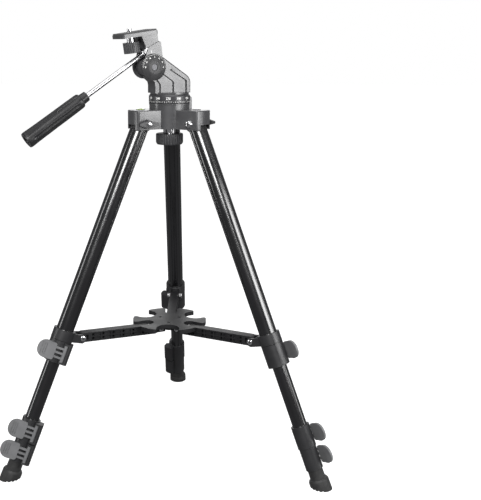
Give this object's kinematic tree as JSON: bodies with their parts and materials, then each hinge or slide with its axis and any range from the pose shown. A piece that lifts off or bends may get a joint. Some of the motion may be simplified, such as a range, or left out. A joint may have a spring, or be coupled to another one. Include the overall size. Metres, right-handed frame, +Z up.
{
  "type": "laser level tripod",
  "caption": "Compact folding tripod for a small levelling instrument or camera, with a pan and tilt head, lever-locked telescopic legs and a spreader tray.",
  "frame": {"origin": "bottom centre of the whole part's box, on the plane the soles stand on", "axes": "+Z up along the tripod's own axis; the rear leg points to +Y and the platform faces the left front leg"},
  "size_m": [0.4608, 0.4026, 0.6092],
  "materials": {
    "head_plastic": "satin black",
    "ring_plastic": "satin black with white figures",
    "dial_plastic": "black with engraved white scale",
    "tube_paint": "gloss black",
    "clamp_plastic": "satin black",
    "lever_plastic": "satin grey",
    "brace_plastic": "satin black",
    "foot_rubber": "matt black",
    "pad_rubber": "matt dark grey",
    "knob_plastic": "satin black, ribbed",
    "bright_steel": "polished",
    "grip_rubber": "satin black",
    "level_vial": "yellow-green vial",
    "compass_face": "white card under a clear cover"
  },
  "bodies": {
    "hub": {"hub_spider": "head_plastic", "leg_pivot_bolts": "bright_steel", "bubble_level": "level_vial", "compass": "compass_face"},
    "pan_head": {"pan_yoke": "head_plastic", "pan_spindle": "bright_steel", "tilt_scale_disc": "dial_plastic", "tilt_pivot_bolt": "bright_steel"},
    "scale_ring": {"azimuth_scale_ring": "ring_plastic"},
    "pan_lock": {"pan_lock_knob": "knob_plastic"},
    "tilt_head": {"tilt_bracket": "head_plastic", "platform_pad": "pad_rubber"},
    "plate_screw": {"plate_screw_knob": "knob_plastic", "camera_screw": "bright_steel"},
    "handle": {"handle_rod": "bright_steel", "handle_grip": "grip_rubber"},
    "left_leg": {"left_upper_tube": "tube_paint", "left_leg_collar": "clamp_plastic", "left_clamp_1": "clamp_plastic"},
    "left_wing_nut": {"wing_nut_left": "knob_plastic"},
    "left_section_2": {"left_tube_2": "tube_paint", "left_clamp_2": "clamp_plastic"},
    "left_section_3": {"left_tube_3": "tube_paint", "left_clamp_3": "clamp_plastic"},
    "left_section_4": {"left_tube_4": "tube_paint", "left_foot": "foot_rubber"},
    "left_lever_1": {"left_lever_1": "lever_plastic"},
    "left_lever_2": {"left_lever_2": "lever_plastic"},
    "left_lever_3": {"left_lever_3": "lever_plastic"},
    "right_leg": {"right_upper_tube": "tube_paint", "right_leg_collar": "clamp_plastic", "right_clamp_1": "clamp_plastic"},
    "right_wing_nut": {"wing_nut_right": "knob_plastic"},
    "right_section_2": {"right_tube_2": "tube_paint", "right_clamp_2": "clamp_plastic"},
    "right_section_3": {"right_tube_3": "tube_paint", "right_clamp_3": "clamp_plastic"},
    "right_section_4": {"right_tube_4": "tube_paint", "right_foot": "foot_rubber"},
    "right_lever_1": {"right_lever_1": "lever_plastic"},
    "right_lever_2": {"right_lever_2": "lever_plastic"},
    "right_lever_3": {"right_lever_3": "lever_plastic"},
    "rear_leg": {"rear_upper_tube": "tube_paint", "rear_leg_collar": "clamp_plastic", "rear_clamp_1": "clamp_plastic"},
    "rear_wing_nut": {"wing_nut_rear": "knob_plastic"},
    "rear_section_2": {"rear_tube_2": "tube_paint", "rear_clamp_2": "clamp_plastic"},
    "rear_section_3": {"rear_tube_3": "tube_paint", "rear_clamp_3": "clamp_plastic"},
    "rear_section_4": {"rear_tube_4": "tube_paint", "rear_foot": "foot_rubber"},
    "rear_lever_1": {"rear_lever_1": "lever_plastic"},
    "rear_lever_2": {"rear_lever_2": "lever_plastic"},
    "rear_lever_3": {"rear_lever_3": "lever_plastic"},
    "tray": {"accessory_tray": "brace_plastic", "tray_hinge_pins": "bright_steel"},
    "left_brace": {"left_brace": "brace_plastic"},
    "right_brace": {"right_brace": "brace_plastic"},
    "rear_brace": {"rear_brace": "brace_plastic"}
  },
  "joints": [
    {"name": "pan", "type": "hinge", "parent": "hub", "child": "pan_head", "pos_m": [0, -0.06266, 0.51], "axis": [0, 0, 1], "continuous": true},
    {"name": "azimuth_ring_turn", "type": "hinge", "parent": "pan_head", "child": "scale_ring", "pos_m": [0, -0.06266, 0.516], "axis": [0, 0, 1], "continuous": true},
    {"name": "pan_lock_turn", "type": "hinge", "parent": "pan_head", "child": "pan_lock", "pos_m": [0, -0.06266, 0.46], "axis": [0, 0, 1], "range_deg": [0, 270]},
    {"name": "tilt", "type": "hinge", "parent": "pan_head", "child": "tilt_head", "pos_m": [-0.02771, -0.07866, 0.5585], "axis": [0.5, -0.866, 0], "range_deg": [-18, 33]},
    {"name": "handle_twist", "type": "hinge", "parent": "tilt_head", "child": "handle", "pos_m": [-0.0316, -0.0809, 0.57735], "axis": [-0.7263, -0.4193, -0.5446], "range_deg": [0, 180]},
    {"name": "camera_screw_turn", "type": "hinge", "parent": "tilt_head", "child": "plate_screw", "pos_m": [-0.04897, -0.09093, 0.58522], "axis": [-0.1258, -0.0726, 0.9894], "range_deg": [0, 270]},
    {"name": "left_leg_fold", "type": "hinge", "parent": "hub", "child": "left_leg", "pos_m": [-0.03724, -0.08416, 0.4835], "axis": [0.5, -0.866, 0], "range_deg": [0, 5.5]},
    {"name": "left_wing_nut_turn", "type": "hinge", "parent": "hub", "child": "left_wing_nut", "pos_m": [-0.02724, -0.10148, 0.4835], "axis": [0.5, -0.866, 0], "range_deg": [0, 270]},
    {"name": "left_section_2_slide", "type": "slide", "parent": "left_leg", "child": "left_section_2", "axis": [-0.3389, -0.1957, -0.9202], "range_m": [-0.086, 0.17]},
    {"name": "left_section_3_slide", "type": "slide", "parent": "left_section_2", "child": "left_section_3", "axis": [-0.3389, -0.1957, -0.9202], "range_m": [0, 0.25]},
    {"name": "left_section_4_slide", "type": "slide", "parent": "left_section_3", "child": "left_section_4", "axis": [-0.3389, -0.1957, -0.9202], "range_m": [0, 0.25]},
    {"name": "left_lever_1_turn", "type": "hinge", "parent": "left_leg", "child": "left_lever_1", "pos_m": [-0.13852, -0.16534, 0.17566], "axis": [0.3389, 0.1957, 0.9202], "range_deg": [0, 110]},
    {"name": "left_lever_2_turn", "type": "hinge", "parent": "left_section_2", "child": "left_lever_2", "pos_m": [-0.17879, -0.18608, 0.06667], "axis": [0.3389, 0.1957, 0.9202], "range_deg": [0, 110]},
    {"name": "left_lever_3_turn", "type": "hinge", "parent": "left_section_3", "child": "left_lever_3", "pos_m": [-0.18957, -0.19136, 0.03754], "axis": [0.3389, 0.1957, 0.9202], "range_deg": [0, 110]},
    {"name": "right_leg_fold", "type": "hinge", "parent": "hub", "child": "right_leg", "pos_m": [0.03724, -0.08416, 0.4835], "axis": [0.5, 0.866, 0], "range_deg": [0, 5.5]},
    {"name": "right_wing_nut_turn", "type": "hinge", "parent": "hub", "child": "right_wing_nut", "pos_m": [0.04724, -0.06684, 0.4835], "axis": [0.5, 0.866, 0], "range_deg": [0, 270]},
    {"name": "right_section_2_slide", "type": "slide", "parent": "right_leg", "child": "right_section_2", "axis": [0.3389, -0.1957, -0.9202], "range_m": [-0.086, 0.17]},
    {"name": "right_section_3_slide", "type": "slide", "parent": "right_section_2", "child": "right_section_3", "axis": [0.3389, -0.1957, -0.9202], "range_m": [0, 0.25]},
    {"name": "right_section_4_slide", "type": "slide", "parent": "right_section_3", "child": "right_section_4", "axis": [0.3389, -0.1957, -0.9202], "range_m": [0, 0.25]},
    {"name": "right_lever_1_turn", "type": "hinge", "parent": "right_leg", "child": "right_lever_1", "pos_m": [0.15818, -0.13128, 0.17566], "axis": [-0.3389, 0.1957, 0.9202], "range_deg": [0, 110]},
    {"name": "right_lever_2_turn", "type": "hinge", "parent": "right_section_2", "child": "right_lever_2", "pos_m": [0.19628, -0.15579, 0.06667], "axis": [-0.3389, 0.1957, 0.9202], "range_deg": [0, 110]},
    {"name": "right_lever_3_turn", "type": "hinge", "parent": "right_section_3", "child": "right_lever_3", "pos_m": [0.20625, -0.16248, 0.03754], "axis": [-0.3389, 0.1957, 0.9202], "range_deg": [0, 110]},
    {"name": "rear_leg_fold", "type": "hinge", "parent": "hub", "child": "rear_leg", "pos_m": [0, -0.01966, 0.4835], "axis": [-1, 0, 0], "range_deg": [0, 5.5]},
    {"name": "rear_wing_nut_turn", "type": "hinge", "parent": "hub", "child": "rear_wing_nut", "pos_m": [-0.02, -0.01966, 0.4835], "axis": [-1, 0, 0], "range_deg": [0, 270]},
    {"name": "rear_section_2_slide", "type": "slide", "parent": "rear_leg", "child": "rear_section_2", "axis": [0, 0.3914, -0.9202], "range_m": [-0.086, 0.17]},
    {"name": "rear_section_3_slide", "type": "slide", "parent": "rear_section_2", "child": "rear_section_3", "axis": [0, 0.3914, -0.9202], "range_m": [0, 0.25]},
    {"name": "rear_section_4_slide", "type": "slide", "parent": "rear_section_3", "child": "rear_section_4", "axis": [0, 0.3914, -0.9202], "range_m": [0, 0.25]},
    {"name": "rear_lever_1_turn", "type": "hinge", "parent": "rear_leg", "child": "rear_lever_1", "pos_m": [-0.01966, 0.10864, 0.17566], "axis": [0, -0.3914, 0.9202], "range_deg": [0, 110]},
    {"name": "rear_lever_2_turn", "type": "hinge", "parent": "rear_section_2", "child": "rear_lever_2", "pos_m": [-0.01749, 0.15389, 0.06667], "axis": [0, -0.3914, 0.9202], "range_deg": [0, 110]},
    {"name": "rear_lever_3_turn", "type": "hinge", "parent": "rear_section_3", "child": "rear_lever_3", "pos_m": [-0.01667, 0.16587, 0.03754], "axis": [0, -0.3914, 0.9202], "range_deg": [0, 110]},
    {"name": "tray_slide", "type": "slide", "parent": "hub", "child": "tray", "axis": [0, 0, 1], "range_m": [0, 0.0804]},
    {"name": "left_brace_hinge", "type": "hinge", "parent": "tray", "child": "left_brace", "pos_m": [-0.01559, -0.07166, 0.1855], "axis": [0.5, -0.866, 0], "range_deg": [0, 44.88]},
    {"name": "right_brace_hinge", "type": "hinge", "parent": "tray", "child": "right_brace", "pos_m": [0.01559, -0.07166, 0.1855], "axis": [0.5, 0.866, 0], "range_deg": [0, 44.88]},
    {"name": "rear_brace_hinge", "type": "hinge", "parent": "tray", "child": "rear_brace", "pos_m": [0, -0.04466, 0.1855], "axis": [-1, 0, 0], "range_deg": [0, 44.88]}
  ],
  "couplings": [
    {"joint": "tray_slide", "follows": "left_leg_fold", "m_per_rad": 0.83652},
    {"joint": "left_brace_hinge", "follows": "left_leg_fold", "ratio": 8.15},
    {"joint": "right_brace_hinge", "follows": "left_leg_fold", "ratio": 8.15},
    {"joint": "right_leg_fold", "follows": "left_leg_fold", "ratio": 1},
    {"joint": "rear_brace_hinge", "follows": "left_leg_fold", "ratio": 8.15},
    {"joint": "rear_leg_fold", "follows": "left_leg_fold", "ratio": 1}
  ]
}
